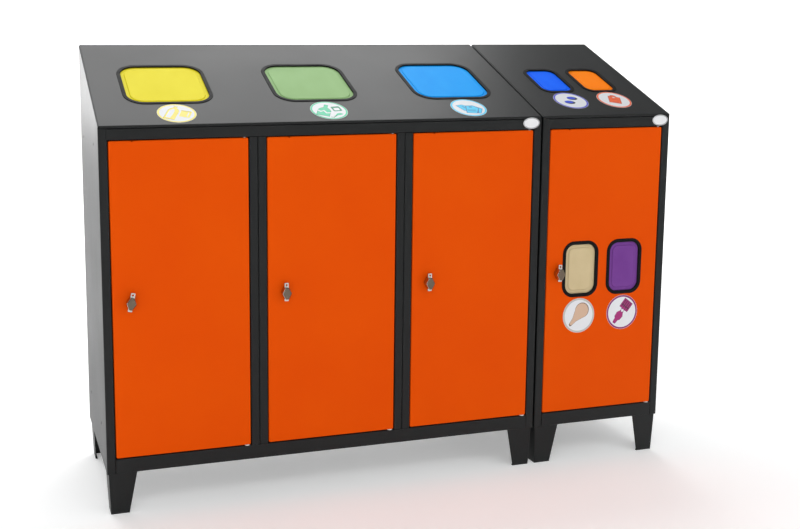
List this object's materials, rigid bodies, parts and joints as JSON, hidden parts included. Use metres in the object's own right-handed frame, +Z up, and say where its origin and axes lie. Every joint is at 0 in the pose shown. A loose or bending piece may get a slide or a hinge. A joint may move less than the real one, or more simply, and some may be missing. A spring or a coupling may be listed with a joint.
{
  "type": "recycling bin station",
  "caption": "Sloping-top steel recycling station: a wide and a narrow locker-style cabinet with lockable orange doors, deposit openings with coloured flaps, bins inside and sheet feet.",
  "frame": {"origin": "bottom centre of the whole station's bounding box, on the floor", "axes": "+X to the right along the row as seen from the front, +Z up, so the doors face -Y"},
  "size_m": [1.605, 0.474, 1.1916],
  "materials": {
    "frame_paint": "fine-textured satin anthracite powder coat",
    "door_paint": "smooth satin orange powder coat",
    "chrome": "polished",
    "zinc_steel": "bright zinc plate",
    "spring_steel": "drawn wire",
    "white_nylon": "natural",
    "glide_rubber": "matt black",
    "black_rubber": "satin black edge trim",
    "badge_white": "domed, blank",
    "label_film": "printed film, satin",
    "bin_plastic": "moulded, fine grain",
    "yellow_plastic": "moulded, satin",
    "green_plastic": "moulded, satin",
    "sky_plastic": "moulded, satin",
    "blue_plastic": "moulded, satin",
    "orange_plastic": "moulded, satin",
    "beige_plastic": "moulded, satin",
    "purple_plastic": "moulded, satin"
  },
  "bodies": {
    "cabinets": {"wide_left_side": "frame_paint", "wide_right_side": "frame_paint", "wide_partition_1": "frame_paint", "wide_partition_2": "frame_paint", "wide_back_panel": "frame_paint", "wide_floor_tray": "frame_paint", "wide_top_rail": "frame_paint", "wide_top_cover": "frame_paint", "narrow_left_side": "frame_paint", "narrow_right_side": "frame_paint", "narrow_back_panel": "frame_paint", "narrow_floor_tray": "frame_paint", "narrow_top_rail": "frame_paint", "narrow_top_cover": "frame_paint", "narrow_shelf": "frame_paint", "feet": "frame_paint", "foot_glides": "glide_rubber", "door_hinge_pins": "zinc_steel", "door_hinge_washers": "white_nylon", "cabinet_joining_bolts": "zinc_steel", "blank_badges": "badge_white", "top_opening_trims": "black_rubber", "top_labels": "label_film", "top_flap_brackets": "zinc_steel", "top_flap_rods": "zinc_steel", "top_flap_springs": "spring_steel", "wide_bins": "bin_plastic", "narrow_upper_bins": "bin_plastic", "narrow_lower_bins": "bin_plastic"},
    "door_1": {"door_1_panel": "door_paint", "door_1_lock_housing": "chrome", "door_1_stiffener": "door_paint"},
    "lock_1": {"door_1_knob": "chrome", "door_1_cam": "zinc_steel"},
    "door_2": {"door_2_panel": "door_paint", "door_2_lock_housing": "chrome", "door_2_stiffener": "door_paint"},
    "lock_2": {"door_2_knob": "chrome", "door_2_cam": "zinc_steel"},
    "door_3": {"door_3_panel": "door_paint", "door_3_lock_housing": "chrome", "door_3_stiffener": "door_paint"},
    "lock_3": {"door_3_knob": "chrome", "door_3_cam": "zinc_steel"},
    "door_4": {"door_4_panel": "door_paint", "door_4_lock_housing": "chrome", "door_opening_trims": "black_rubber", "door_labels": "label_film", "door_flap_brackets": "zinc_steel", "door_flap_rods": "zinc_steel", "door_flap_springs": "spring_steel"},
    "lock_4": {"door_4_knob": "chrome", "door_4_cam": "zinc_steel"},
    "yellow_flap": {"yellow_flap": "yellow_plastic"},
    "green_flap": {"green_flap": "green_plastic"},
    "sky_flap": {"sky_flap": "sky_plastic"},
    "blue_flap": {"blue_flap": "blue_plastic"},
    "orange_flap": {"orange_flap": "orange_plastic"},
    "beige_flap": {"beige_flap": "beige_plastic"},
    "purple_flap": {"purple_flap": "purple_plastic"}
  },
  "joints": [
    {"name": "door_1_swing", "type": "hinge", "parent": "cabinets", "child": "door_1", "pos_m": [-0.436, -0.2065, 0.148], "axis": [0, 0, 1], "range_deg": [0, 110]},
    {"name": "lock_1_turn", "type": "hinge", "parent": "door_1", "child": "lock_1", "pos_m": [-0.733, -0.213, 0.5525], "axis": [0, 1, 0], "range_deg": [-12, 78]},
    {"name": "door_2_swing", "type": "hinge", "parent": "cabinets", "child": "door_2", "pos_m": [-0.036, -0.2065, 0.148], "axis": [0, 0, 1], "range_deg": [0, 110]},
    {"name": "lock_2_turn", "type": "hinge", "parent": "door_2", "child": "lock_2", "pos_m": [-0.333, -0.213, 0.5525], "axis": [0, 1, 0], "range_deg": [0, 90]},
    {"name": "door_3_swing", "type": "hinge", "parent": "cabinets", "child": "door_3", "pos_m": [0.364, -0.2065, 0.148], "axis": [0, 0, 1], "range_deg": [0, 110]},
    {"name": "lock_3_turn", "type": "hinge", "parent": "door_3", "child": "lock_3", "pos_m": [0.067, -0.213, 0.5525], "axis": [0, 1, 0], "range_deg": [0, 90]},
    {"name": "door_4_swing", "type": "hinge", "parent": "cabinets", "child": "door_4", "pos_m": [0.769, -0.2065, 0.148], "axis": [0, 0, 1], "range_deg": [0, 110]},
    {"name": "lock_4_turn", "type": "hinge", "parent": "door_4", "child": "lock_4", "pos_m": [0.46, -0.213, 0.5525], "axis": [0, 1, 0], "range_deg": [0, 90]},
    {"name": "yellow_flap_push", "type": "hinge", "parent": "cabinets", "child": "yellow_flap", "pos_m": [-0.6025, 0.118, 1.12999], "axis": [1, 0, 0], "range_deg": [0, 60], "stiffness_Nm_per_rad": 0.25, "springref_deg": -114.59},
    {"name": "green_flap_push", "type": "hinge", "parent": "cabinets", "child": "green_flap", "pos_m": [-0.2025, 0.118, 1.12999], "axis": [1, 0, 0], "range_deg": [0, 60], "stiffness_Nm_per_rad": 0.25, "springref_deg": -114.59},
    {"name": "sky_flap_push", "type": "hinge", "parent": "cabinets", "child": "sky_flap", "pos_m": [0.1975, 0.118, 1.12999], "axis": [1, 0, 0], "range_deg": [0, 60], "stiffness_Nm_per_rad": 0.25, "springref_deg": -114.59},
    {"name": "blue_flap_push", "type": "hinge", "parent": "cabinets", "child": "blue_flap", "pos_m": [0.5325, 0.07691, 1.11164], "axis": [1, 0, 0], "range_deg": [0, 60], "stiffness_Nm_per_rad": 0.08, "springref_deg": -114.59},
    {"name": "orange_flap_push", "type": "hinge", "parent": "cabinets", "child": "orange_flap", "pos_m": [0.6725, 0.07691, 1.11164], "axis": [1, 0, 0], "range_deg": [0, 60], "stiffness_Nm_per_rad": 0.08, "springref_deg": -114.59},
    {"name": "beige_flap_push", "type": "hinge", "parent": "door_4", "child": "beige_flap", "pos_m": [0.5325, -0.204, 0.65], "axis": [1, 0, 0], "range_deg": [0, 60], "stiffness_Nm_per_rad": 0.03, "springref_deg": -85.94},
    {"name": "purple_flap_push", "type": "hinge", "parent": "door_4", "child": "purple_flap", "pos_m": [0.6725, -0.204, 0.65], "axis": [1, 0, 0], "range_deg": [0, 60], "stiffness_Nm_per_rad": 0.03, "springref_deg": -85.94}
  ]
}
